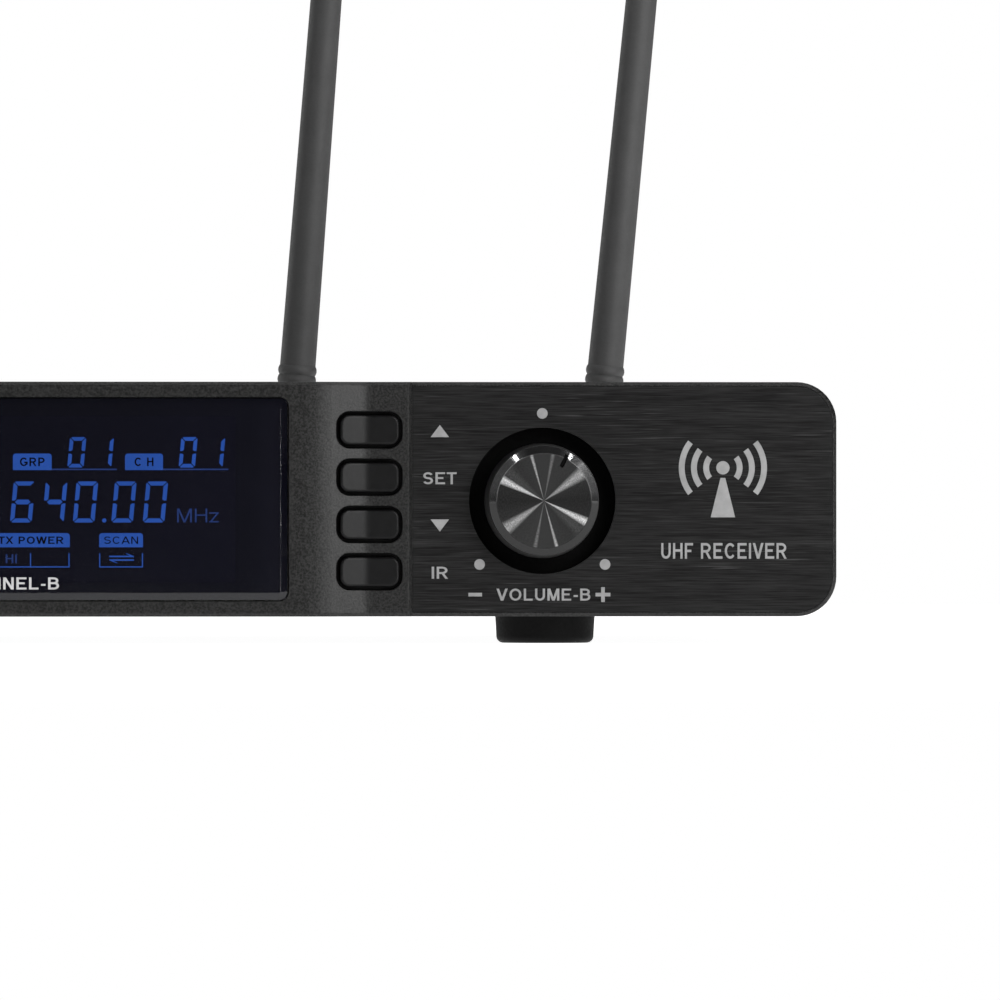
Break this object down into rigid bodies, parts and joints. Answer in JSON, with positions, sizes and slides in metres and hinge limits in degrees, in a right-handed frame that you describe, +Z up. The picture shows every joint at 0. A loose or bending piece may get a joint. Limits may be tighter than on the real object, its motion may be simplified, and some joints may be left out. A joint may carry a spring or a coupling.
{
  "type": "wireless receiver unit",
  "caption": "Two-channel wireless microphone receiver, one rack unit high, with display, volume knobs, keys and folding rear whip aerials.",
  "frame": {"origin": "on the table, under the middle of the whole object's box", "axes": "+X to the right seen from the front, +Y from the front to the back, +Z up"},
  "size_m": [0.42, 0.24, 0.2067],
  "materials": {
    "case_paint": "fine-textured black powder coat",
    "bezel_plastic": "fine-grained dark grey moulding",
    "brushed_plate": "black anodised, brushed across",
    "black_gloss_plastic": "smooth black",
    "smoked_lens": "polished smoked acrylic",
    "lcd_glass": "dark display glass",
    "white_plastic": "white light box",
    "circuit_board": "green solder mask",
    "ir_resin": "dark infrared resin",
    "switch_plastic": "plain black",
    "zinc_metal": "zinc plated",
    "tinned_steel": "tinned",
    "ribbon_grey": "grey insulation",
    "lead_jacket": "black jacket",
    "nickel": "bright nickel plate",
    "black_plastic": "moulded black",
    "button_plastic": "satin dark grey",
    "spun_aluminium": "turned and black-grey anodised",
    "whip_rubber": "satin dark grey sleeve",
    "foot_rubber": "black",
    "black_screw": "black zinc"
  },
  "bodies": {
    "case": {"antenna_leads": "lead_jacket", "bnc_sockets": "nickel", "board_fixings": "zinc_metal", "board_parts": "switch_plastic", "button_switches": "switch_plastic", "case_screws": "black_screw", "chassis_tray": "case_paint", "dc_inlet": "black_plastic", "display_window": "smoked_lens", "fascia_left": "brushed_plate", "fascia_right": "brushed_plate", "front_bezel": "bezel_plastic", "front_board": "circuit_board", "ir_emitters": "ir_resin", "knob_wells": "black_gloss_plastic", "lcd_backlight": "white_plastic", "lcd_panel": "lcd_glass", "level_switch": "black_plastic", "main_board": "circuit_board", "mix_jack": "black_plastic", "panel_nuts": "nickel", "power_switch": "switch_plastic", "rear_panel": "case_paint", "ribbon_cable": "ribbon_grey", "rubber_feet": "foot_rubber", "top_cover": "case_paint", "tuner_shields": "tinned_steel", "volume_pots": "zinc_metal", "xlr_inserts": "black_plastic", "xlr_shells": "nickel"},
    "key_a_up": {"button_a_up": "button_plastic"},
    "key_a_set": {"button_a_set": "button_plastic"},
    "key_a_down": {"button_a_down": "button_plastic"},
    "key_a_ir": {"button_a_ir": "button_plastic"},
    "key_b_up": {"button_b_up": "button_plastic"},
    "key_b_set": {"button_b_set": "button_plastic"},
    "key_b_down": {"button_b_down": "button_plastic"},
    "key_b_ir": {"button_b_ir": "button_plastic"},
    "volume_a": {"volume_knob_a": "spun_aluminium", "pot_shaft_a": "zinc_metal"},
    "volume_b": {"volume_knob_b": "spun_aluminium", "pot_shaft_b": "zinc_metal"},
    "power_key": {"power_button": "black_gloss_plastic"},
    "level_key": {"level_slider": "black_plastic"},
    "aerial_base_left_outer": {"elbow_left_outer": "black_plastic", "hinge_pin_left_outer": "zinc_metal"},
    "aerial_ring_left_outer": {"coupler_left_outer": "nickel"},
    "aerial_left_outer": {"whip_left_outer": "whip_rubber"},
    "aerial_base_left_inner": {"elbow_left_inner": "black_plastic", "hinge_pin_left_inner": "zinc_metal"},
    "aerial_ring_left_inner": {"coupler_left_inner": "nickel"},
    "aerial_left_inner": {"whip_left_inner": "whip_rubber"},
    "aerial_base_right_inner": {"elbow_right_inner": "black_plastic", "hinge_pin_right_inner": "zinc_metal"},
    "aerial_ring_right_inner": {"coupler_right_inner": "nickel"},
    "aerial_right_inner": {"whip_right_inner": "whip_rubber"},
    "aerial_base_right_outer": {"elbow_right_outer": "black_plastic", "hinge_pin_right_outer": "zinc_metal"},
    "aerial_ring_right_outer": {"coupler_right_outer": "nickel"},
    "aerial_right_outer": {"whip_right_outer": "whip_rubber"}
  },
  "joints": [
    {"name": "press_a_up", "type": "slide", "parent": "case", "child": "key_a_up", "axis": [0, 1, 0], "range_m": [0, 0.0006], "stiffness_N_per_m": 900, "springref_m": -0.0006},
    {"name": "press_a_set", "type": "slide", "parent": "case", "child": "key_a_set", "axis": [0, 1, 0], "range_m": [0, 0.0006], "stiffness_N_per_m": 900, "springref_m": -0.0006},
    {"name": "press_a_down", "type": "slide", "parent": "case", "child": "key_a_down", "axis": [0, 1, 0], "range_m": [0, 0.0006], "stiffness_N_per_m": 900, "springref_m": -0.0006},
    {"name": "press_a_ir", "type": "slide", "parent": "case", "child": "key_a_ir", "axis": [0, 1, 0], "range_m": [0, 0.0006], "stiffness_N_per_m": 900, "springref_m": -0.0006},
    {"name": "press_b_up", "type": "slide", "parent": "case", "child": "key_b_up", "axis": [0, 1, 0], "range_m": [0, 0.0006], "stiffness_N_per_m": 900, "springref_m": -0.0006},
    {"name": "press_b_set", "type": "slide", "parent": "case", "child": "key_b_set", "axis": [0, 1, 0], "range_m": [0, 0.0006], "stiffness_N_per_m": 900, "springref_m": -0.0006},
    {"name": "press_b_down", "type": "slide", "parent": "case", "child": "key_b_down", "axis": [0, 1, 0], "range_m": [0, 0.0006], "stiffness_N_per_m": 900, "springref_m": -0.0006},
    {"name": "press_b_ir", "type": "slide", "parent": "case", "child": "key_b_ir", "axis": [0, 1, 0], "range_m": [0, 0.0006], "stiffness_N_per_m": 900, "springref_m": -0.0006},
    {"name": "turn_volume_a", "type": "hinge", "parent": "case", "child": "volume_a", "pos_m": [-0.15465, -0.11355, 0.0269], "axis": [0, 1, 0], "range_deg": [-162.5, 108.5]},
    {"name": "turn_volume_b", "type": "hinge", "parent": "case", "child": "volume_b", "pos_m": [0.15465, -0.11355, 0.0269], "axis": [0, 1, 0], "range_deg": [-162.5, 108.5]},
    {"name": "press_power", "type": "slide", "parent": "case", "child": "power_key", "axis": [0, 1, 0], "range_m": [0, 0.0015], "stiffness_N_per_m": 900, "springref_m": -0.001},
    {"name": "slide_level", "type": "slide", "parent": "case", "child": "level_key", "axis": [1, 0, 0], "range_m": [0, 0.004]},
    {"name": "swivel_left_outer", "type": "hinge", "parent": "case", "child": "aerial_base_left_outer", "pos_m": [-0.1767, 0.11445, 0.0272], "axis": [0, 1, 0], "range_deg": [-84.41, 15.59]},
    {"name": "fold_left_outer", "type": "hinge", "parent": "aerial_base_left_outer", "child": "aerial_left_outer", "pos_m": [-0.1767, 0.11445, 0.0272], "axis": [-0.9952, 0, -0.0974], "range_deg": [0, 90]},
    {"name": "lock_left_outer", "type": "hinge", "parent": "aerial_base_left_outer", "child": "aerial_ring_left_outer", "pos_m": [-0.1767, 0.11445, 0.0272], "axis": [0, 1, 0], "range_deg": [0, 90]},
    {"name": "swivel_left_inner", "type": "hinge", "parent": "case", "child": "aerial_base_left_inner", "pos_m": [-0.115, 0.11445, 0.0272], "axis": [0, 1, 0], "range_deg": [-17.57, 94.43]},
    {"name": "fold_left_inner", "type": "hinge", "parent": "aerial_base_left_inner", "child": "aerial_left_inner", "pos_m": [-0.115, 0.11445, 0.0272], "axis": [-0.997, 0, -0.0772], "range_deg": [0, 90]},
    {"name": "lock_left_inner", "type": "hinge", "parent": "aerial_base_left_inner", "child": "aerial_ring_left_inner", "pos_m": [-0.115, 0.11445, 0.0272], "axis": [0, 1, 0], "range_deg": [0, 90]},
    {"name": "swivel_right_inner", "type": "hinge", "parent": "case", "child": "aerial_base_right_inner", "pos_m": [0.115, 0.11445, 0.0272], "axis": [0, 1, 0], "range_deg": [-94.43, 17.57]},
    {"name": "fold_right_inner", "type": "hinge", "parent": "aerial_base_right_inner", "child": "aerial_right_inner", "pos_m": [0.115, 0.11445, 0.0272], "axis": [-0.997, 0, 0.0772], "range_deg": [0, 90]},
    {"name": "lock_right_inner", "type": "hinge", "parent": "aerial_base_right_inner", "child": "aerial_ring_right_inner", "pos_m": [0.115, 0.11445, 0.0272], "axis": [0, 1, 0], "range_deg": [0, 90]},
    {"name": "swivel_right_outer", "type": "hinge", "parent": "case", "child": "aerial_base_right_outer", "pos_m": [0.1767, 0.11445, 0.0272], "axis": [0, 1, 0], "range_deg": [-15.59, 84.41]},
    {"name": "fold_right_outer", "type": "hinge", "parent": "aerial_base_right_outer", "child": "aerial_right_outer", "pos_m": [0.1767, 0.11445, 0.0272], "axis": [-0.9952, 0, 0.0974], "range_deg": [0, 90]},
    {"name": "lock_right_outer", "type": "hinge", "parent": "aerial_base_right_outer", "child": "aerial_ring_right_outer", "pos_m": [0.1767, 0.11445, 0.0272], "axis": [0, 1, 0], "range_deg": [0, 90]}
  ]
}
